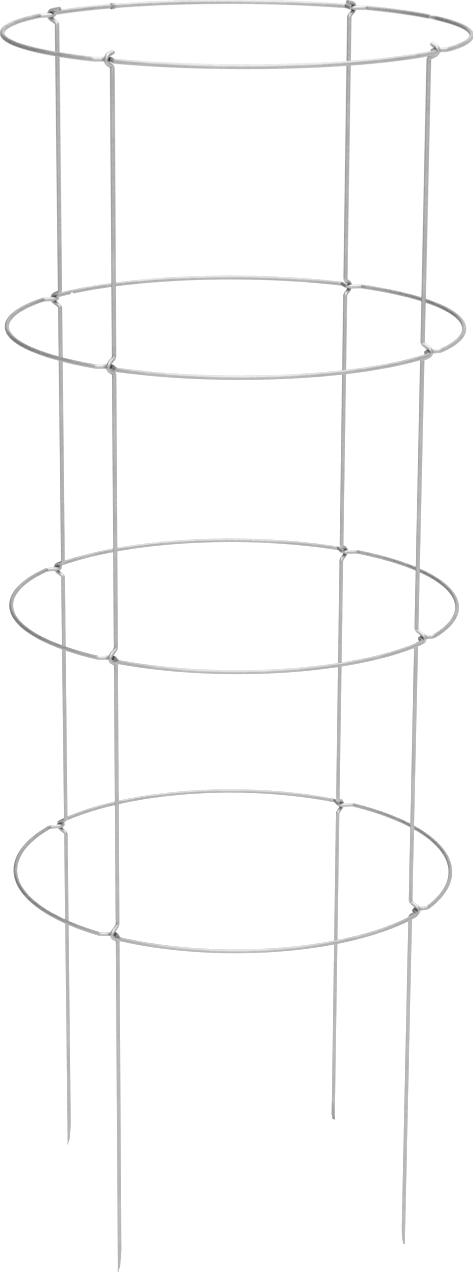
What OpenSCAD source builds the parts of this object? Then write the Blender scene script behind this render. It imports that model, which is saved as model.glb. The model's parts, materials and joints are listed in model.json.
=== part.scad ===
// Round tomato cage of galvanised wire.
// Four rings and four uprights cross at sixteen knots. At each knot the upright is kinked outward and the
// ring inward, and the two kinks hook round each other like links, so the cage holds without welds or clips.
// The origin is on the ground, in the middle of the four leg tips, with +Z up and the front towards -Y.

/* [Cage] */
// Diameter of a ring, to the middle of its wire
ring_d = 457; // [300:1:700]
// Height from one ring to the next
ring_spacing = 291; // [120:1:450]
// Height of the bottom ring above the leg tips
leg_length = 380; // [120:1:600]
// Diameter of the wire
wire_d = 4.5; // [2.5:0.1:5]
// How far the uprights stand inside the rings, from wire middle to wire middle
upright_inset = 13.6; // [11:0.1:18]

/* [Knots] */
// How far an upright's kink stands out from its straight line
upright_kink_depth = 9.5; // [8:0.1:11.5]
// Slope of an upright's kink from its straight line, in degrees
upright_kink_angle = 64; // [50:1:68]
// Bend radius, to the middle of the wire, where an upright's kink starts
upright_shoulder_r = 3.4; // [2.8:0.1:6]
// Slope of a ring's kink from the ring's circle, in degrees
ring_kink_angle = 42; // [32:1:52]
// Bend radius, to the middle of the wire, where a ring's kink starts
ring_shoulder_r = 5; // [3:0.1:8]
// Clearance between the two wires that hook round each other
knot_gap = 0.2; // [0.1:0.05:0.5]
// How much a tight bend draws the wire in, all round
bend_neck = 0.05; // [0.03:0.01:0.1]
// Length of a bend's end that runs on inside the straight wire
bend_end = 0.25; // [0.15:0.05:0.35]

/* [Top ends] */
// How far each upright bends over the top ring, in degrees: rear right, rear left, front left, front right
top_bend_angles = [77, 77, 80, 64]; // [50:1:85]
// Straight length of each upright's cut end, past that bend, in the same order
tail_lengths = [10, 10, 7, 5]; // [2:0.5:12]

/* [Leg points] */
// Height of a leg's pointed end
point_length = 24; // [10:0.5:40]
// Height of the steeper face at the tip
tip_length = 7.5; // [3:0.5:9]
// How deep the long slanted face has cut into the wire where the steeper face starts
slant_depth = 1.4; // [0.4:0.1:1.5]
// Width of the blunt edge left at the tip
point_blunt = 0.7; // [0.4:0.1:1.2]
// Turn of each leg's faces from the cage's axis, in degrees: rear right, rear left, front left, front right
point_turns = [0, 32, -58, 0]; // [-180:1:180]

/* [Sleeve of the top ring] */
// Length of the sleeve that closes the top ring
sleeve_length = 4; // [3:0.5:20]
// Outside diameter of the sleeve, at its ends
sleeve_d = 6.4; // [6:0.1:8]
// Length of the waist that the crimp presses in the middle of the sleeve
waist_length = 1.8; // [0.8:0.1:2.6]
// Outside diameter of the waist
waist_d = 5.8; // [5.4:0.1:6.2]
// Clearance between the sleeve and the wire in it
sleeve_gap = 0.1; // [0.05:0.05:0.2]
// Gap between the ring's two wire ends inside the sleeve
end_gap = 0.5; // [0.2:0.1:1]
// Place of the sleeve in the rear quarter of the ring, in degrees past the rear right upright
sleeve_angle = 66.5; // [15:0.5:75]

/* [Hidden] */
$fn = 48;

// The quarters start at the uprights: rear right, rear left, front left and front right
quarter = 90;
first_upright_angle = 45;
rear_quarter = 0;
upright_angles = [for (i = [0 : 3]) first_upright_angle + quarter * i];

// Ring heights, from the bottom ring up
ring_heights = [for (i = [0 : 3]) leg_length + ring_spacing * i];

wire_r = wire_d / 2;
ring_r = ring_d / 2;
upright_r = ring_r - upright_inset;

// Each hooked bend is centred on the other wire, so both have this radius
hook_r = wire_d + knot_gap;
// Distance from the cage's axis to the innermost point of a ring's kink
ring_hook_r = upright_r + upright_kink_depth - hook_r;

// Straight flank and half height of an upright's kink
upright_bend_r = hook_r + upright_shoulder_r;
upright_bend_rise = upright_bend_r * (1 - cos(upright_kink_angle));
upright_flank = (upright_kink_depth - upright_bend_rise) / sin(upright_kink_angle);
upright_kink_half = upright_bend_r * sin(upright_kink_angle) + upright_flank * cos(upright_kink_angle);

// A ring's kink: its shoulder's middle lies on the flank's normal, ring_r - ring_shoulder_r from the axis
ring_bend_r = hook_r + ring_shoulder_r;
flank_way = [sin(ring_kink_angle), cos(ring_kink_angle)];
shoulder_start = [ring_hook_r + hook_r, 0] + ring_bend_r * [-cos(ring_kink_angle), sin(ring_kink_angle)];
shoulder_way = shoulder_start * flank_way;
ring_flank = sqrt(pow(shoulder_way, 2) - shoulder_start * shoulder_start + pow(ring_r - ring_shoulder_r, 2))
    - shoulder_way;
shoulder_middle = shoulder_start + ring_flank * flank_way;
// Angle from a knot to the start of the ring's plain arc
ring_arc_start = atan2(shoulder_middle[1], shoulder_middle[0]);

// Angles that lengths along the ring take up
sleeve_span = sleeve_length / ring_r * 180 / PI;
waist_span = waist_length / ring_r * 180 / PI;
end_span = end_gap / ring_r * 180 / PI;

// How far a cut runs past what it cuts
overrun = wire_d;

// A leg's point from the side: where the long slant starts and ends, the blunt tip, and the slant carried on
slant_start = [wire_r, point_length];
slant_end = [wire_r - slant_depth, tip_length];
tip_end = [point_blunt - wire_r, 0];
slant_past = 2 * slant_start - slant_end;

wire_colour = [0.70, 0.71, 0.71];
sleeve_colour = [0.62, 0.63, 0.63];

// Arc of wire in the XY plane, round the origin, from +X
module arc(r, angle, section_r = wire_r) {
    rotate_extrude(angle = angle)
        translate([r, 0])
            circle(r = section_r);
}

// Tight bend: a slightly thinner arc, with both ends inside the wire that it joins
module bend(r, angle) {
    end_angle = bend_end / r * 180 / PI;
    rotate(-end_angle)
        arc(r, angle + 2 * end_angle, wire_r - bend_neck);
}

// Straight wire along +Y
module straight(length) {
    rotate([-90, 0, 0])
        cylinder(r = wire_r, h = length);
}

// Hooked bend of a kink that points along +X, round the other wire at the origin, between two angles
module hook(from, to) {
    rotate(from)
        bend(hook_r, to - from);
}

// One side of a kink, towards +Y: its flank, and the shoulder that turns back by the kink's angle and more
module kink_side(angle, flank, shoulder_r, turn) {
    rotate(angle)
        translate([hook_r, 0, 0]) {
            straight(flank);
            translate([shoulder_r, flank, 0])
                rotate(180 - turn)
                    bend(shoulder_r, turn);
        }
}

// Both sides of a kink, with the hooked bend between them
module kink(angle, flank, shoulder_r, turn) {
    hook(-angle, angle);
    for (side = [0, 1])
        mirror([0, side, 0])
            kink_side(angle, flank, shoulder_r, turn);
}

// Plain arc of a ring, between two angles
module ring_arc(from, to) {
    rotate(from)
        arc(ring_r, to - from);
}

// Quarter of a ring: the kink at its knot, and the arc to the next one
module ring_quarter(open) {
    arc_end = quarter - ring_arc_start;
    translate([ring_hook_r + hook_r, 0, 0])
        mirror([1, 0, 0])
            kink(ring_kink_angle, ring_flank, ring_shoulder_r, ring_kink_angle + ring_arc_start);
    if (open) {
        ring_arc(ring_arc_start, sleeve_angle - end_span / 2);
        ring_arc(sleeve_angle + end_span / 2, arc_end);
    } else {
        ring_arc(ring_arc_start, arc_end);
    }
}

// Ring of the given level, counted from the bottom, closed or with two ends in the rear quarter
module ring(level, open = false) {
    color(wire_colour)
        translate([0, 0, ring_heights[level]])
            for (i = [0 : 3])
                rotate(upright_angles[i])
                    ring_quarter(open && i == rear_quarter);
}

// What is cut away beyond the two faces of a leg's point
module point_cut() {
    linear_extrude(height = wire_d + overrun, center = true)
        polygon([
            slant_past,
            slant_end,
            tip_end,
            tip_end - [0, overrun],
            [slant_past[0], -overrun]
        ]);
}

// Leg below the bottom knot, with a slanted point
module leg(turn) {
    difference() {
        straight(leg_length - upright_kink_half);
        rotate([0, turn, 0])
            point_cut();
    }
}

// Top end of an upright: hooked over the top ring and cut off above it
module top_end(bend_angle, tail) {
    hook(-upright_kink_angle, bend_angle);
    mirror([0, 1, 0])
        kink_side(upright_kink_angle, upright_flank, upright_shoulder_r, upright_kink_angle);
    rotate(bend_angle)
        translate([hook_r, 0, 0])
            straight(tail);
}

// Upright at the given corner of the cage, drawn flat and stood up
module upright(corner) {
    top = len(ring_heights) - 1;
    color(wire_colour)
        rotate(upright_angles[corner])
            rotate([90, 0, 0]) {
                translate([upright_r, 0, 0])
                    leg(point_turns[corner]);
                for (i = [0 : top - 1]) {
                    translate([ring_hook_r, ring_heights[i], 0])
                        kink(upright_kink_angle, upright_flank, upright_shoulder_r, upright_kink_angle);
                    translate([upright_r, ring_heights[i] + upright_kink_half, 0])
                        straight(ring_spacing - 2 * upright_kink_half);
                }
                translate([ring_hook_r, ring_heights[top], 0])
                    top_end(top_bend_angles[corner], tail_lengths[corner]);
            }
}

module top_ring() {
    ring(3, open = true);
}

module upper_ring() {
    ring(2);
}

module lower_ring() {
    ring(1);
}

module bottom_ring() {
    ring(0);
}

module rear_right_upright() {
    upright(0);
}

module rear_left_upright() {
    upright(1);
}

module front_left_upright() {
    upright(2);
}

module front_right_upright() {
    upright(3);
}

// Tube that follows the ring's arc, to both sides of +X
module tube(span, outside_d, bore_d) {
    rotate(-span / 2)
        rotate_extrude(angle = span)
            translate([ring_r, 0])
                difference() {
                    circle(d = outside_d);
                    circle(d = bore_d);
                }
}

// Crimped tube over the two ends of the top ring
module top_ring_sleeve() {
    color(sleeve_colour)
        translate([0, 0, ring_heights[3]])
            rotate(upright_angles[rear_quarter] + sleeve_angle)
                difference() {
                    tube(sleeve_span, sleeve_d, wire_d + 2 * sleeve_gap);
                    tube(waist_span, sleeve_d + overrun, waist_d);
                }
}

top_ring();
upper_ring();
lower_ring();
bottom_ring();
front_left_upright();
front_right_upright();
rear_right_upright();
rear_left_upright();
top_ring_sleeve();
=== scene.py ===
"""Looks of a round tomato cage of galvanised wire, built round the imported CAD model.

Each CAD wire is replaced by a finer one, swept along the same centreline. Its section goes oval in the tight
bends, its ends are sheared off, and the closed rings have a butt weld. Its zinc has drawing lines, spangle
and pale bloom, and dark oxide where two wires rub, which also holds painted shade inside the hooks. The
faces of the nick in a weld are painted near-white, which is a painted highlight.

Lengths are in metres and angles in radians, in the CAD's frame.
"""
import json
import math

import bmesh
import bpy
import numpy as np
from mathutils import Matrix, Vector, noise


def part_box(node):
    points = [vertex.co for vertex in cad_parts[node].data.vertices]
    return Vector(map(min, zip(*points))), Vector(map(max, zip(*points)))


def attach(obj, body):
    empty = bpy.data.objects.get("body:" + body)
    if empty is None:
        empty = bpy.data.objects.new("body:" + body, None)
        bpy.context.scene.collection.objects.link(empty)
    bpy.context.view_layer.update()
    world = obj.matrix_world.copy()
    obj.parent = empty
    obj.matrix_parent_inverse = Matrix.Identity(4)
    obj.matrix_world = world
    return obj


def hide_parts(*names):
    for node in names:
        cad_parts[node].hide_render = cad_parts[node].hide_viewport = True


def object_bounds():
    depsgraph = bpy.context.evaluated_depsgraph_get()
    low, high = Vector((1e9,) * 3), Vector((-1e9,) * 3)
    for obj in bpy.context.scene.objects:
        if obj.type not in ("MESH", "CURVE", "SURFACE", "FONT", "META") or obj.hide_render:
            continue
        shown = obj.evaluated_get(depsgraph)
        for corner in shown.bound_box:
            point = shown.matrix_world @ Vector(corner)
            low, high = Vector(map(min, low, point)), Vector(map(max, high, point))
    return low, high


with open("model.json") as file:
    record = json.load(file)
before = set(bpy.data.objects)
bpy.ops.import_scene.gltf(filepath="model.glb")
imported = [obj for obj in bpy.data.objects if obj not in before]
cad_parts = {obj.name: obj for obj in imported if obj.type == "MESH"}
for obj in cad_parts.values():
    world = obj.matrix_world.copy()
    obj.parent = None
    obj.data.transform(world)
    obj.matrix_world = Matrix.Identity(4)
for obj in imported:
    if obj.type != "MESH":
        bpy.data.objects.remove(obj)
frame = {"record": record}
cad_low, cad_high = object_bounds()

# Sizes of the cage, read from the frame
RINGS = ["bottom_ring", "lower_ring", "upper_ring", "top_ring"]
UPRIGHTS = ["rear_right_upright", "rear_left_upright", "front_left_upright", "front_right_upright"]
SLEEVE = "top_ring_sleeve"
QUARTER = math.pi / 2
upright_angles = [QUARTER / 2 + QUARTER * i for i in range(len(UPRIGHTS))]

leg_mount = frame["record"]["mounts"][0]
wire_r = leg_mount["dims"]["r_mm"] / 1000
wire_d = 2 * wire_r
upright_r = math.hypot(*leg_mount["pos_m"][:2])
ring_r = max(cad_high.x, cad_high.y) - wire_r
ring_z = {name: sum(corner.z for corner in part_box(name)) / 2 for name in RINGS}
leg_length = ring_z["bottom_ring"] - cad_low.z
ring_spacing = (ring_z["top_ring"] - ring_z["bottom_ring"]) / (len(RINGS) - 1)
sleeve_low, sleeve_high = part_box(SLEEVE)
sleeve_middle = (sleeve_low + sleeve_high) / 2
sleeve_angle = math.atan2(sleeve_middle.y, sleeve_middle.x)
sleeve_r = (sleeve_high.z - sleeve_low.z) / 2

# Sizes of the knots, cut ends, leg points and sleeve, as in the CAD
knot_gap = 0.0002
upright_kink_depth = 0.0095
upright_kink_angle = math.radians(64)
upright_shoulder_r = 0.0034
ring_kink_angle = math.radians(42)
ring_shoulder_r = 0.005
top_bend_angles = [math.radians(angle) for angle in (77, 77, 80, 64)]
tail_lengths = [0.01, 0.01, 0.007, 0.005]
point_length = 0.024
tip_length = 0.0075
slant_depth = 0.0014
point_blunt = 0.0007
point_turns = [math.radians(turn) for turn in (0, 32, -58, 0)]
sleeve_length = 0.004
waist_length = 0.0018
waist_r = 0.0029
sleeve_gap = 0.0001
end_gap = 0.0005

# Worked out as in the CAD: both hooked bends are centred on the other wire
hook_r = wire_d + knot_gap
ring_hook_r = upright_r + upright_kink_depth - hook_r
upright_bend_r = hook_r + upright_shoulder_r
upright_sin, upright_cos = math.sin(upright_kink_angle), math.cos(upright_kink_angle)
upright_flank = (upright_kink_depth - upright_bend_r * (1 - upright_cos)) / upright_sin
upright_kink_half = upright_bend_r * upright_sin + upright_flank * upright_cos
ring_bend_r = hook_r + ring_shoulder_r
flank_way = Vector((math.sin(ring_kink_angle), math.cos(ring_kink_angle)))
shoulder_start = Vector((
    ring_hook_r + hook_r - ring_bend_r * math.cos(ring_kink_angle),
    ring_bend_r * math.sin(ring_kink_angle),
))
shoulder_way = shoulder_start.dot(flank_way)
ring_flank = math.sqrt(
    shoulder_way**2 - shoulder_start.length_squared + (ring_r - ring_shoulder_r) ** 2
) - shoulder_way
shoulder_middle = shoulder_start + ring_flank * flank_way
ring_arc_start = math.atan2(shoulder_middle.y, shoulder_middle.x)

# Sides of a wire's section, and steps along the wire
SIDES = 28
bend_step = 0.0003
flank_step = 0.001
plain_step = 0.005
weld_step = 0.00015
point_step = 0.0005

# Finer shapes of the wire, which the CAD leaves plain
bend_fade = 0.0012
bend_flattening = 0.035
bend_widening = 0.012
die_dent = 0.00011
dent_sharpness = 4
lump_height = 0.000018
lump_scale = 240
point_rounding = 0.00012
cut_skin = 0.00005
sharp_edge = math.radians(32)

# Dark oxide where wires rub in a hook, which is also painted shade inside the hook: its reach past the bend
# and its fade, and where it starts and is full round the section, from -1 at the outside of the bend to 1 at
# the inside
rub_and_shade_reach = 0.0035
rub_and_shade_fade = 0.004
rub_and_shade_start = -0.05
rub_and_shade_full = 0.65

# A sheared end: its rolled edge, the ridges on its face, and its rows of points, as shares of the wire's
# radius and of the edge's height
end_roll = 0.00022
shear_ridge = 0.00006
ridge_waves = 9
ridge_shift = 2
ridge_share = 0.7
end_row_shares = ((0.97, 0.45), (0.88, 0.9), (0.62, 1.0), (0.34, 1.0), (0.1, 1.0))

# A butt weld: its bead, and the faces of the nick in it
weld_reach = 0.0065
weld_bead = 0.00018
weld_bead_width = 0.0011
weld_rub = 0.45
nick_side = math.radians(-66)
nick_wall = 0.0006
nick_slope = 0.005

# Where the closed rings are welded, as an angle round the cage, and how deep the nick in the weld is
welds = {
    "bottom_ring": (math.radians(104), 0.0004),
    "lower_ring": (math.radians(98), 0.0004),
    "upper_ring": (math.radians(126.7), 0.0024),
}

# Where the top ring is rubbed bright, as an angle round the cage, and over which half length
scuff_angle = math.radians(17.5)
scuff_reach = 0.003
scuff_sharpness = 6

# The crimped sleeve
SLEEVE_SIDES = 56
rim_steps = 6
body_steps = 30
bore_steps = 6
rim_r = 0.00022
bore_rim_r = 0.0001
crimp_depth = sleeve_r - waist_r
crimp_sharpness = 4
crimp_jaws = 6
crimp_ripple_share = 0.2
crimp_rub = 0.25
seam_side = math.radians(-118)
seam_depth = 0.00022
seam_width = 0.00022
seam_rub = 0.5

# How a wire's map is laid out: the pitch and first margin of its lengths, as shares of the wire's girth and
# of the pitch, and the shares of a strip's two sides at the corners of a triangle that ends it
strip_pitch_share = 1.15
strip_margin_share = 0.05
strip_end_shares = np.array(((1, 0, 0.5), (0, 1, 0.5)))


def smooth(x):
    """Goes smoothly from 0 to 1 as x does."""
    x = np.clip(x, 0, 1)
    return x * x * (3 - 2 * x)


class Walk:
    """A wire's centreline, walked in its own plane in straight runs and arcs. Each sample is x, y, heading
    and the length walked so far."""

    def __init__(self, place, heading):
        self.samples = [(*place, heading, 0.0)]
        self.marks = []

    def run(self, length, turn=0.0, step=plain_step, kind=None):
        """Goes on by a length in even steps, and turns left by an angle on the way."""
        x, y, heading, way = self.samples[-1]
        count = math.ceil(length / step)
        for i in range(1, count + 1):
            done, now = length * i / count, heading + turn * i / count
            if turn:
                r = length / turn
                place = (
                    x + r * (math.sin(now) - math.sin(heading)),
                    y - r * (math.cos(now) - math.cos(heading)),
                )
            else:
                place = (x + done * math.cos(heading), y + done * math.sin(heading))
            self.samples.append((*place, now, way + done))
        if kind:
            self.mark(kind, way, math.copysign(1, turn))

    def mark(self, kind, start, side=0):
        """Notes what the wire is from a length walked earlier up to here, and the side that it turns to."""
        self.marks.append((kind, start, self.samples[-1][3], side))

    def kink_start(self, side, angle, flank, shoulder_r, shoulder_turn, end_angle):
        """Steps aside, to the left where side is 1, and hooks round the other wire up to an angle."""
        hook_turn = angle + end_angle
        self.run(shoulder_r * shoulder_turn, side * shoulder_turn, bend_step, "shoulder")
        self.run(flank, step=flank_step)
        self.run(hook_r * hook_turn, -side * hook_turn, bend_step, "hook")

    def kink(self, side, angle, flank, shoulder_r, shoulder_turn):
        """Hooks round the other wire and comes back into line."""
        start = self.samples[-1][3]
        self.kink_start(side, angle, flank, shoulder_r, shoulder_turn, angle)
        self.run(flank, step=flank_step)
        self.run(shoulder_r * shoulder_turn, side * shoulder_turn, bend_step, "shoulder")
        self.mark("kink", start)

    def weight(self, kinds, way, fade_length=bend_fade, reach=0.0):
        """How much each place on the way lies in what is marked as these kinds, or within reach of it, and
        the side that it turns to."""
        weight, side = np.zeros(len(way)), np.zeros(len(way))
        for kind, start, end, turn in self.marks:
            if kind in kinds:
                inside = np.minimum(way - start, end - way) + reach
                fade = smooth(inside / fade_length + 0.5)
                weight += fade
                side += turn * fade
        return np.clip(weight, 0, 1), np.clip(side, -1, 1)


def ring_walk(start, end):
    """Walks a ring from one angle to another, past all the knots, with fine steps at both ends."""
    walk = Walk((ring_r * math.cos(start), ring_r * math.sin(start)), start + QUARTER)
    shoulder_turn = ring_kink_angle + ring_arc_start

    def arc(to, step=plain_step):
        """Goes on along the ring's circle up to an angle."""
        turn = to - (walk.samples[-1][2] - QUARTER)
        walk.run(ring_r * turn, turn, step)

    first = next(i for i in range(2 * len(UPRIGHTS)) if upright_angles[0] + QUARTER * i > start)
    arc(start + weld_reach / ring_r, weld_step)
    for i in range(first, first + len(UPRIGHTS)):
        arc(upright_angles[0] + QUARTER * i - ring_arc_start)
        walk.kink(1, ring_kink_angle, ring_flank, ring_shoulder_r, shoulder_turn)
    arc(end - weld_reach / ring_r)
    arc(end, weld_step)
    return walk


def upright_walk(top_bend_angle, tail):
    """Walks an upright from its tip up to the cut end above the top ring."""
    kink_sizes = (upright_kink_angle, upright_flank, upright_shoulder_r, upright_kink_angle)
    walk = Walk((upright_r, cad_low.z), QUARTER)
    walk.run(point_length, step=point_step)
    walk.run(leg_length - point_length - upright_kink_half)
    for _ in RINGS[:-1]:
        walk.kink(-1, *kink_sizes)
        walk.run(ring_spacing - 2 * upright_kink_half)
    top_start = walk.samples[-1][3]
    walk.kink_start(-1, *kink_sizes, top_bend_angle)
    walk.run(tail, step=bend_step)
    walk.mark("kink", top_start)
    return walk


class Wire:
    """Sections of a wire along its walk, as an array of points, with what is known of each point."""

    def __init__(self, walk, plane):
        x, y, heading, self.way = np.array(walk.samples).T
        right, up, self.normal = (np.array(plane.col[i][:3]) for i in range(3))
        self.middle = np.array(plane.col[3][:3]) + np.outer(x, right) + np.outer(y, up)
        self.along = np.outer(np.cos(heading), right) + np.outer(np.sin(heading), up)
        self.left = np.outer(-np.sin(heading), right) + np.outer(np.cos(heading), up)
        self.turn = 2 * math.pi * np.arange(SIDES) / SIDES
        self.bend, bend_side = walk.weight(("shoulder", "hook"), self.way)
        self.kink = walk.weight(("kink",), self.way)[0]
        hook_side = walk.weight(("hook",), self.way, rub_and_shade_fade, rub_and_shade_reach)[1]
        leftward = np.cos(self.turn)
        self.r = np.full((len(self.way), SIDES), wire_r)
        self.r -= die_dent * np.clip(np.outer(bend_side, leftward), 0, 1) ** dent_sharpness
        # Dark oxide and painted shade on the inside of each hook, where the other wire sits
        self.rub_and_shade = smooth((np.outer(hook_side, leftward) - rub_and_shade_start) / (rub_and_shade_full - rub_and_shade_start))
        self.cut = np.zeros_like(self.r)
        self.scuff_and_highlight = np.zeros_like(self.r)

    def points(self):
        """The sections' points: oval in the bends, and a little lumpy with zinc."""
        flat = self.r * (1 - bend_flattening * self.bend[:, None]) * np.cos(self.turn)
        wide = self.r * (1 + bend_widening * self.bend[:, None]) * np.sin(self.turn)
        out = flat[:, :, None] * self.left[:, None, :] + wide[:, :, None] * self.normal
        places = self.middle[:, None, :] + out
        lumps = [noise.noise(Vector(place) * lump_scale) for place in places.reshape(-1, 3)]
        lump = np.array(lumps).reshape(self.r.shape)
        return places + out * (lump_height * lump / wire_r)[:, :, None]


def butt_weld(wire, length):
    """Swells the wire round its two welded ends. Returns how far each section lies past the seam, or minus
    how far it lies before it."""
    from_seam = np.where(wire.way < length / 2, wire.way, wire.way - length)
    close = np.exp(-((from_seam / weld_bead_width) ** 2))[:, None]
    wire.r += weld_bead * close
    wire.rub_and_shade = np.maximum(wire.rub_and_shade, weld_rub * close)
    return from_seam


def nicked(wire, points, from_seam, depth):
    """Leaves a notch under a weld, where a slanted end met a square one: what lies beyond the notch's faces
    moves to them. The faces are painted near-white, a painted highlight."""
    way = math.cos(nick_side) * wire.left + math.sin(nick_side) * wire.normal
    share = np.clip(1 - np.where(from_seam > 0, from_seam / nick_wall, -from_seam / nick_slope), 0, 1)
    limit = wire_r + weld_bead - depth * share
    reach = ((points - wire.middle[:, None, :]) * way[:, None, :]).sum(2)
    over = np.maximum(reach - limit[:, None], 0)
    # The notch's faces are painted near-white: a painted highlight
    wire.scuff_and_highlight += np.clip(over / cut_skin, 0, 1)
    return points - over[:, :, None] * way[:, None, :]


def slanted_point(wire, points, cut_way):
    """Cuts the leg's end to a point: what lies beyond its long slant and its steeper tip moves back onto
    them."""
    height = wire.way[:, None]
    slant = wire_r - slant_depth * (point_length - height) / (point_length - tip_length)
    tip = point_blunt - wire_r + (wire_d - slant_depth - point_blunt) * height / tip_length
    limit = -point_rounding * np.logaddexp(-slant / point_rounding, -tip / point_rounding)
    reach = (points - wire.middle[:, None, :]) @ cut_way
    over = np.maximum(reach - limit, 0)
    wire.cut = np.clip(over / cut_skin, 0, 1)
    return points - over[:, :, None] * cut_way


def sheared_end(wire, points, end):
    """Rows of points past the wire's first (0) or last (-1) section: a rolled edge, then a sheared face."""
    middle, away = wire.middle[end], wire.along[end] * (1 if end else -1)
    rows = []
    for share, push_share in end_row_shares:
        waves = np.sin(ridge_waves * share * np.cos(wire.turn) + ridge_shift)
        ridge = shear_ridge * waves * (share < ridge_share)
        push = end_roll * push_share + ridge
        rows.append(middle + share * (points[end] - middle) + away * push[:, None])
    return np.array(rows if end else rows[::-1])


def wire_piece(name, wire, points, closed=False, start=(), end=()):
    """A wire's mesh, with more rows of points at its start and end, which are freshly cut."""
    facts = {key: getattr(wire, key) for key in ("rub_and_shade", "cut", "scuff_and_highlight")}
    facts["kink"] = np.repeat(wire.kink[:, None], SIDES, 1)
    for rows, at_end in ((start, False), (end, True)):
        if len(rows):
            points = np.concatenate([points, rows] if at_end else [rows, points])
            for key, values in facts.items():
                more = np.full((len(rows), SIDES), float(key == "cut"))
                facts[key] = np.concatenate([values, more] if at_end else [more, values])
    return grid_piece(name, points, facts, closed)


def grid_piece(name, rows, facts, closed):
    """A piece from rows of points round a wire or tube. It closes on itself, or each end closes at its
    middle."""
    count, sides = rows.shape[:2]
    steps = np.linalg.norm(np.roll(rows, -1, 0) - rows, axis=2).mean(1)
    ways = np.append(0, np.cumsum(steps if closed else steps[:-1]))
    around = np.linalg.norm(np.roll(rows, -1, 1) - rows, axis=2).mean()
    i, j = (grid.ravel() for grid in np.mgrid[: count if closed else count - 1, :sides])
    corner_i = np.stack([i, i, i + 1, i + 1], 1)
    corner_j = np.stack([j, j + 1, j + 1, j], 1)
    faces = (corner_i % count * sides + corner_j % sides).tolist()
    along, across = ways[corner_i].ravel(), (corner_j * around).ravel()
    starts = np.repeat(ways[i], 4)
    vertices = rows.reshape(-1, 3)
    facts = {key: values.ravel() for key, values in facts.items()}
    if not closed:
        j = np.arange(sides)
        for row, sign in ((0, -1), (count - 1, 1)):
            tip = len(vertices)
            ring = row * sides + np.stack([(j + 1) % sides, j], 1)[:, ::-sign]
            faces += np.column_stack([ring, np.full(sides, tip)]).tolist()
            radius = np.linalg.norm(rows[row] - rows[row].mean(0), axis=1).mean()
            along = np.append(along, np.tile([ways[row], ways[row], ways[row] + sign * radius], sides))
            sides_j = np.stack([j + 1, j], 1)[:, ::-sign]
            across = np.append(across, around * (sides_j @ strip_end_shares).ravel())
            starts = np.append(starts, np.full(3 * sides, ways[row]))
            vertices = np.concatenate([vertices, rows[row].mean(0)[None]])
            facts = {key: np.append(values, values[row * sides]) for key, values in facts.items()}
    mesh = bpy.data.meshes.new(name)
    mesh.from_pydata(vertices.tolist(), [], faces)
    set_maps(mesh, along, across, starts, ways[-1], sides * around, steps.max() + wire_d)
    for key, values in facts.items():
        mesh.attributes.new(key, "FLOAT", "POINT").data.foreach_set("value", values)
    smooth_shade(mesh)
    piece = bpy.data.objects.new(name, mesh)
    bpy.context.scene.collection.objects.link(piece)
    return piece


def set_maps(mesh, along, across, starts, whole, girth, margin):
    """Sets the map named wire, in metres along and around, and the map named OFBake, which has the same
    strip cut in lengths that lie side by side. A face belongs to the length in which it starts."""
    mesh.uv_layers.new(name="wire").data.foreach_set("uv", np.stack([along, across], 1).ravel())
    pitch = strip_pitch_share * girth
    lengths = math.ceil(math.sqrt(whole / pitch))
    length = whole / lengths
    row = np.minimum(starts // length, lengths - 1)
    laid = np.stack([along - row * length + wire_r, across + row * pitch + strip_margin_share * pitch], 1)
    laid /= max(length + 2 * margin, lengths * pitch)
    mesh.uv_layers.new(name="OFBake").data.foreach_set("uv", laid.ravel())


def smooth_shade(mesh):
    """Shades a mesh smooth, apart from its sharp edges."""
    mesh.polygons.foreach_set("use_smooth", [True] * len(mesh.polygons))
    edit = bmesh.new()
    edit.from_mesh(mesh)
    for edge in edit.edges:
        edge.smooth = edge.calc_face_angle(0) < sharp_edge
    edit.to_mesh(mesh)
    edit.free()


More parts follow.
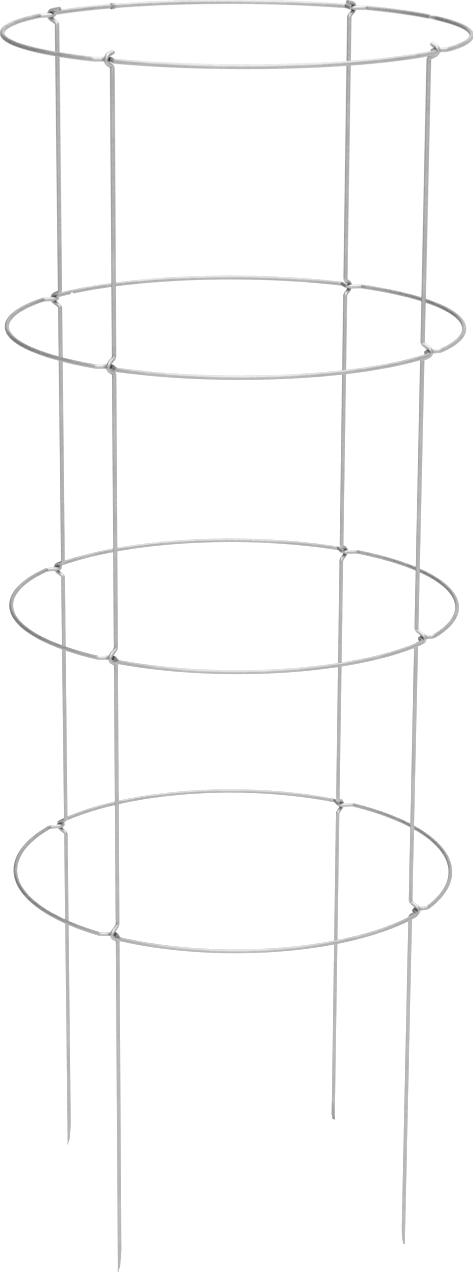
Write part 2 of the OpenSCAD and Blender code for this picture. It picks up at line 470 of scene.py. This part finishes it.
def sleeve_rows():
    """Rows of points round the crimped sleeve, out along it and back through its bore, with what is known of
    each point."""
    half, bore = sleeve_length / 2, wire_r + sleeve_gap
    rounding = np.linspace(2 * QUARTER, QUARTER, rim_steps)
    outside = [(rim_r * (1 + math.cos(a)) - half, sleeve_r - rim_r * (1 - math.sin(a))) for a in rounding]
    end = [(bore_rim_r - half, bore), (-half, bore + bore_rim_r), *outside]
    body = [(u, sleeve_r) for u in np.linspace(rim_r - half, half - rim_r, body_steps)[1:-1]]
    far_end = [(-u, r) for u, r in reversed(end)]
    hole = [(u, bore) for u in np.linspace(half - bore_rim_r, bore_rim_r - half, bore_steps)[1:-1]]
    u, r = np.array([*end, *body, *far_end, *hole]).T
    turn = 2 * math.pi * np.arange(SLEEVE_SIDES) / SLEEVE_SIDES
    # The shell is 1 on the outside, and 0 from half the wall inward
    shell = smooth((r - bore) / (sleeve_r - bore) * 2 - 1)[:, None]
    ripple = 1 - crimp_ripple_share + crimp_ripple_share * np.cos(crimp_jaws * turn)
    pressed = np.exp(-((2 * u / waist_length) ** crimp_sharpness))[:, None] * ripple
    across_seam = sleeve_r * np.abs((turn - seam_side + math.pi) % (2 * math.pi) - math.pi)
    seam = np.exp(-((across_seam / seam_width) ** 2))
    reach = r[:, None] - shell * (crimp_depth * pressed + seam_depth * seam)
    angle = sleeve_angle + u / ring_r
    outward = np.stack([np.cos(angle), np.sin(angle), 0 * angle], 1)[:, None, :]
    upward = np.array((0, 0, 1))
    middle = ring_r * outward + ring_z["top_ring"] * upward
    cut = (np.abs(u) > half - rim_r / 2)[:, None] * np.ones(SLEEVE_SIDES)
    rub_and_shade_mask = np.clip(seam_rub * shell * seam + crimp_rub * shell * pressed, 0, 1)
    rows = middle + reach[:, :, None] * (upward * np.sin(turn)[:, None] - outward * np.cos(turn)[:, None])
    return rows, {"cut": cut, "rub_and_shade": rub_and_shade_mask}


def dress(piece, node, material):
    """Puts a piece in its node's place."""
    piece.data.materials.append(material)
    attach(piece, "root")
    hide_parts(node)


def add(tree, kind, inputs=None, **settings):
    """Adds a shader node. An input is given a value, or the socket that feeds it."""
    made = tree.nodes.new("ShaderNode" + kind)
    for key, value in settings.items():
        setattr(made, key, value)
    for key, value in (inputs or {}).items():
        if isinstance(value, bpy.types.NodeSocket):
            tree.links.new(value, made.inputs[key])
        else:
            made.inputs[key].default_value = value
    return made


# Places of a Mix node's colours among its sockets
MIX_A, MIX_B, MIX_RESULT = 6, 7, 2


def mixed(tree, factor, a, b):
    """The socket of a colour mixed from a to b."""
    made = add(tree, "Mix", {"Factor": factor}, data_type="RGBA")
    for socket, value in ((made.inputs[MIX_A], a), (made.inputs[MIX_B], b)):
        if isinstance(value, bpy.types.NodeSocket):
            tree.links.new(value, socket)
        else:
            socket.default_value = (*value, 1)
    return made.outputs[MIX_RESULT]


def ranged(tree, value, low, high, to_low=0.0, to_high=1.0):
    """The socket of a value moved from one range to another."""
    return add(tree, "MapRange", {
        "Value": value, "From Min": low, "From Max": high, "To Min": to_low, "To Max": to_high,
    }).outputs[0]


def maths(tree, operation, a, b):
    """The socket of two values added, multiplied and so on."""
    return add(tree, "Math", {0: a, 1: b}, operation=operation).outputs[0]


def total(tree, *terms):
    """The socket of a sum of sockets, each times a number."""
    made, *others = [maths(tree, "MULTIPLY", socket, amount) for socket, amount in terms]
    for other in others:
        made = maths(tree, "ADD", made, other)
    return made


# Zinc: how often its patterns repeat in a metre; the drawing lines do so along the wire and around it
mottle_scale = 38
spangle_scale = 520
cloud_scale = 21
grain_scale = 2600
pit_scale = 900
line_scales = (30, 3200, 1)

# Zinc: layers of detail in its patterns
mottle_detail = 4
line_detail = 2
cloud_detail = 6
cloud_roughness = 0.68
grain_detail = 3

# Zinc: the values of a pattern between which what it makes goes from none, or the least, to the most
tone_range = (0.3, 0.7)
bloom_range = (0.52, 0.68)
bloom_most = 0.6
pit_range = (0.16, 0.06)
pit_patch_range = (0.45, 0.6)
rub_and_shade_range = (0.2, 0.75)
rub_and_shade_least = 0.6
scuff_and_highlight_range = (0.3, 0.6)
scuff_and_highlight_least = 0.4

# Zinc: what its tone is made of, in shares
mottle_share = 0.4
spangle_share = 0.35
line_share = 0.25

# Zinc: colours of pits, bright scuffs with the painted highlight on a weld's nick, cut ends, and dark oxide
# with painted shade inside the hooks, and how much of the zinc they cover
pit_cover, pit_colour = 0.55, (0.16, 0.16, 0.155)
scuff_and_highlight_cover, scuff_and_highlight_colour = 0.9, (0.92, 0.92, 0.915)
cut_cover, cut_colour = 0.75, (0.27, 0.265, 0.26)
rub_and_shade_cover, rub_and_shade_colour = 0.42, (0.09, 0.092, 0.09)

# Zinc: roughness of its spangle, and what is added to it or, in a kink, taken from it
smoothest, roughest = 0.4, 0.5
bloom_roughness = 0.16
rub_and_shade_roughness = 0.2
kink_smoothness = 0.12

# Zinc: height of its patterns against each other, and of the whole relief
line_relief = 0.6
spangle_relief = 0.15
grain_relief = 0.3
pit_relief = 0.5
relief_strength = 0.35
relief_height = 0.00005


def zinc_material(name, dark, light, bloom):
    """Dull galvanised steel: spangle, drawing lines along the wire, pale bloom and fine pits. It is smoother
    in the kinks, bright where it is scuffed, near-white on a weld's nick as a painted highlight, and dark
    where wires rub, with painted shade inside the hooks."""
    material = bpy.data.materials.new(name)
    material.use_nodes = True
    tree = material.node_tree
    shader = tree.nodes["Principled BSDF"]
    place = add(tree, "TexCoord").outputs["Object"]
    along = add(tree, "UVMap", uv_map="wire").outputs[0]
    drawn = add(tree, "Mapping", {"Vector": along, "Scale": line_scales}).outputs[0]

    def cloudy(vector, scale, **more):
        """The socket of a cloudy pattern."""
        return add(tree, "TexNoise", {"Vector": vector, "Scale": scale, **more}).outputs["Fac"]

    mottle = cloudy(place, mottle_scale, Detail=mottle_detail)
    lines = cloudy(drawn, 1, Detail=line_detail)
    clouds = cloudy(place, cloud_scale, Detail=cloud_detail, Roughness=cloud_roughness)
    grain = cloudy(place, grain_scale, Detail=grain_detail)
    cells = add(tree, "TexVoronoi", {"Vector": place, "Scale": spangle_scale}).outputs["Color"]
    spangle = add(tree, "SeparateColor", {0: cells}).outputs[0]
    pits = add(tree, "TexVoronoi", {"Vector": place, "Scale": pit_scale}).outputs["Distance"]
    kink, cut, rub_and_shade, scuff_and_highlight = (
        add(tree, "Attribute", attribute_name=key).outputs["Fac"] for key in ("kink", "cut", "rub_and_shade", "scuff_and_highlight")
    )

    tone = total(
        tree,
        (ranged(tree, mottle, *tone_range), mottle_share),
        (spangle, spangle_share),
        (ranged(tree, lines, *tone_range), line_share),
    )
    bloomed = ranged(tree, clouds, *bloom_range, 0, bloom_most)
    pitted = maths(tree, "MULTIPLY", ranged(tree, pits, *pit_range), ranged(tree, mottle, *pit_patch_range))
    # Dark oxide where wires rub, with painted shade inside the hooks, broken up by the grain
    rub_and_shade_mask = maths(tree, "MULTIPLY", rub_and_shade, ranged(tree, grain, *rub_and_shade_range, rub_and_shade_least, 1))
    # Bright scuffs, with the painted highlight on a weld's nick, broken up by the drawing lines
    scuff_and_highlight_mask = maths(tree, "MULTIPLY", scuff_and_highlight, ranged(tree, lines, *scuff_and_highlight_range, scuff_and_highlight_least, 1))

    colour = mixed(tree, tone, dark, light)
    colour = mixed(tree, bloomed, colour, bloom)
    for where, cover, cover_colour in (
        (pitted, pit_cover, pit_colour),
        (scuff_and_highlight_mask, scuff_and_highlight_cover, scuff_and_highlight_colour),
        (cut, cut_cover, cut_colour),
        (rub_and_shade_mask, rub_and_shade_cover, rub_and_shade_colour),
    ):
        colour = mixed(tree, maths(tree, "MULTIPLY", where, cover), colour, cover_colour)
    tree.links.new(colour, shader.inputs["Base Color"])

    rough = total(
        tree,
        (ranged(tree, spangle, 0, 1, smoothest, roughest), 1),
        (bloomed, bloom_roughness),
        (rub_and_shade_mask, rub_and_shade_roughness),
        (kink, -kink_smoothness),
    )
    tree.links.new(rough, shader.inputs["Roughness"])
    shader.inputs["Metallic"].default_value = 1.0

    relief = total(
        tree,
        (lines, line_relief),
        (spangle, spangle_relief),
        (grain, grain_relief),
        (pitted, -pit_relief),
    )
    bump = add(tree, "Bump", {"Strength": relief_strength, "Distance": relief_height, "Height": relief})
    tree.links.new(bump.outputs[0], shader.inputs["Normal"])
    return material


wire_zinc = zinc_material(
    "zinc_wire",
    dark=(0.315, 0.319, 0.317),
    light=(0.415, 0.419, 0.417),
    bloom=(0.465, 0.469, 0.473),
)
sleeve_zinc = zinc_material(
    "zinc_sleeve",
    dark=(0.236, 0.239, 0.238),
    light=(0.335, 0.338, 0.337),
    bloom=(0.39, 0.393, 0.396),
)

# Rings
for ring_name in RINGS:
    level = Matrix.Translation((0, 0, ring_z[ring_name]))
    if ring_name in welds:
        seam, nick = welds[ring_name]
        walk = ring_walk(seam, seam + 2 * math.pi)
        length = walk.samples.pop()[3]
        wire = Wire(walk, level)
        from_seam = butt_weld(wire, length)
        points = nicked(wire, wire.points(), from_seam, nick)
        piece = wire_piece(ring_name + "_wire", wire, points, closed=True)
    else:
        from_middle = (end_gap / 2 + end_roll) / ring_r
        wire = Wire(ring_walk(sleeve_angle + from_middle, sleeve_angle - from_middle + 2 * math.pi), level)
        round_cage = np.arctan2(wire.middle[:, 1], wire.middle[:, 0])
        from_scuff = ring_r * (round_cage - scuff_angle)
        wire.scuff_and_highlight += np.exp(-((from_scuff / scuff_reach) ** scuff_sharpness))[:, None]
        points = wire.points()
        piece = wire_piece(
            ring_name + "_wire",
            wire,
            points,
            start=sheared_end(wire, points, 0),
            end=sheared_end(wire, points, -1),
        )
    dress(piece, ring_name, wire_zinc)

# Uprights
corners = zip(UPRIGHTS, upright_angles, point_turns, top_bend_angles, tail_lengths)
for upright_name, angle, point_turn, top_bend_angle, tail in corners:
    stood_up = Matrix.Rotation(angle, 4, "Z") @ Matrix.Rotation(QUARTER, 4, "X")
    wire = Wire(upright_walk(top_bend_angle, tail - end_roll), stood_up)
    cut_angle = angle + point_turn + math.pi
    cut_way = np.array((math.cos(cut_angle), math.sin(cut_angle), 0))
    points = slanted_point(wire, wire.points(), cut_way)
    piece = wire_piece(upright_name + "_wire", wire, points, end=sheared_end(wire, points, -1))
    dress(piece, upright_name, wire_zinc)

# Sleeve
dress(grid_piece(SLEEVE + "_crimped", *sleeve_rows(), closed=True), SLEEVE, sleeve_zinc)

# Stage: a pale floor, and how strong the room, the white that shows and the grey card are
floor_reach = 25.0
floor_albedo = 0.6
floor_lift = 0.66
room_strength = 0.58
white_strength = 1.0
card_strength = 0.39


def seen_direct(tree):
    """The socket that is 1 for rays from the camera, reflections and glass."""
    path = add(tree, "LightPath").outputs
    seen = maths(tree, "ADD", path["Is Camera Ray"], path["Is Glossy Ray"])
    seen = add(tree, "Math", {0: seen, 1: path["Is Transmission Ray"]}, operation="ADD", use_clamp=True)
    return seen.outputs[0]


def plate(name, width, depth, place):
    """A flat rectangle that belongs to the stage."""
    mesh = bpy.data.meshes.new(name)
    corners = [(x * width / 2, y * depth / 2, 0) for x, y in ((-1, -1), (1, -1), (1, 1), (-1, 1))]
    mesh.from_pydata(corners, [], [(0, 1, 2, 3)])
    made = bpy.data.objects.new(name, mesh)
    made.matrix_world = place
    bpy.context.scene.collection.objects.link(made)
    return made


def bare_material(name):
    """A material with nothing but its output."""
    material = bpy.data.materials.new(name)
    material.use_nodes = True
    material.node_tree.nodes.remove(material.node_tree.nodes["Principled BSDF"])
    return material


def floor_material():
    """Plain pale floor, lifted to white for what looks straight at it, which keeps the shadow."""
    material = bare_material("pale_floor")
    tree = material.node_tree
    matt = add(tree, "BsdfDiffuse", {"Color": (floor_albedo, floor_albedo, floor_albedo, 1)})
    lift = add(tree, "Emission", {"Strength": maths(tree, "MULTIPLY", seen_direct(tree), floor_lift)})
    both = add(tree, "AddShader", {0: matt.outputs[0], 1: lift.outputs[0]})
    tree.links.new(both.outputs[0], tree.nodes["Material Output"].inputs["Surface"])
    return material


def card_material():
    """Grey card that only the wires' reflections see."""
    material = bare_material("grey_card")
    tree = material.node_tree
    glow = add(tree, "Emission", {"Strength": card_strength})
    tree.links.new(glow.outputs[0], tree.nodes["Material Output"].inputs["Surface"])
    return material


floor = plate("floor", 2 * floor_reach, 2 * floor_reach, Matrix.Translation((0, 0, cad_low.z)))
floor.data.materials.append(floor_material())

# Camera, fitted to the photo's four rings and four uprights
frame_size = (473, 1273)
focal_pixels = 3452.9
camera_turn = math.radians(12.56)
camera_distance = 3.3878
camera_height = 1.7178
camera_pitch = math.radians(17.740)
camera_yaw = math.radians(0.043)
camera_roll = math.radians(0.291)

camera_side = Matrix.Rotation(-camera_turn, 4, "Z")
camera = bpy.data.objects.new("camera", bpy.data.cameras.new("camera"))
camera.data.lens = camera.data.sensor_width * focal_pixels / max(frame_size)
camera.matrix_world = (
    camera_side
    @ Matrix.Translation((0, -camera_distance, camera_height))
    @ Matrix.Rotation(-camera_yaw, 4, "Z")
    @ Matrix.Rotation(QUARTER - camera_pitch, 4, "X")
    @ Matrix.Rotation(camera_roll, 4, "Z")
)
bpy.context.scene.collection.objects.link(camera)
bpy.context.scene.camera = camera

# Light: a pale room
world = bpy.data.worlds.new("room")
bpy.context.scene.world = world
world.use_nodes = True
tree = world.node_tree
background = tree.nodes["Background"]
strength = ranged(tree, seen_direct(tree), 0, 1, room_strength, white_strength)
tree.links.new(strength, background.inputs["Strength"])
background.inputs["Color"].default_value = (1, 1, 1, 1)

# Light: wide soft lamps overhead, and behind and above the camera, placed from the camera's side of the cage
overhead_size = (5.0, 5.5)
overhead_watts = 138
overhead_place = (0.4, -0.2, 3.8)
front_size = (5.0, 2.2)
front_watts = 54
front_place = (0, -4.2, 3.0)
front_tilt = math.radians(62)


def soft_lamp(name, size, watts, place):
    """A rectangle of soft light, which the camera doesn't see."""
    light = bpy.data.lights.new(name, "AREA")
    light.shape = "RECTANGLE"
    light.size, light.size_y = size
    light.energy = watts
    lamp = bpy.data.objects.new(name, light)
    lamp.matrix_world = place
    lamp.visible_camera = False
    bpy.context.scene.collection.objects.link(lamp)


soft_lamp("overhead", overhead_size, overhead_watts, camera_side @ Matrix.Translation(overhead_place))
front_stand = camera_side @ Matrix.Translation(front_place)
soft_lamp("front", front_size, front_watts, front_stand @ Matrix.Rotation(front_tilt, 4, "X"))

# Light: a grey card at the rear left, which stands on the floor between two places, given at half its height
card_near, card_far = Vector((-1.9, 0.2, 1.6)), Vector((-0.55, 2.3, 1.6))
card_way = card_far - card_near
card_turn = Matrix.Rotation(math.atan2(card_way.y, card_way.x), 4, "Z") @ Matrix.Rotation(QUARTER, 4, "X")
card_place = Matrix.Translation((card_near + card_far) / 2) @ card_turn
card = plate("card", card_way.length, 2 * card_near.z, camera_side @ card_place)
card.data.materials.append(card_material())
card.visible_camera = card.visible_diffuse = card.visible_shadow = False

bpy.context.scene.view_settings.view_transform = "Standard"
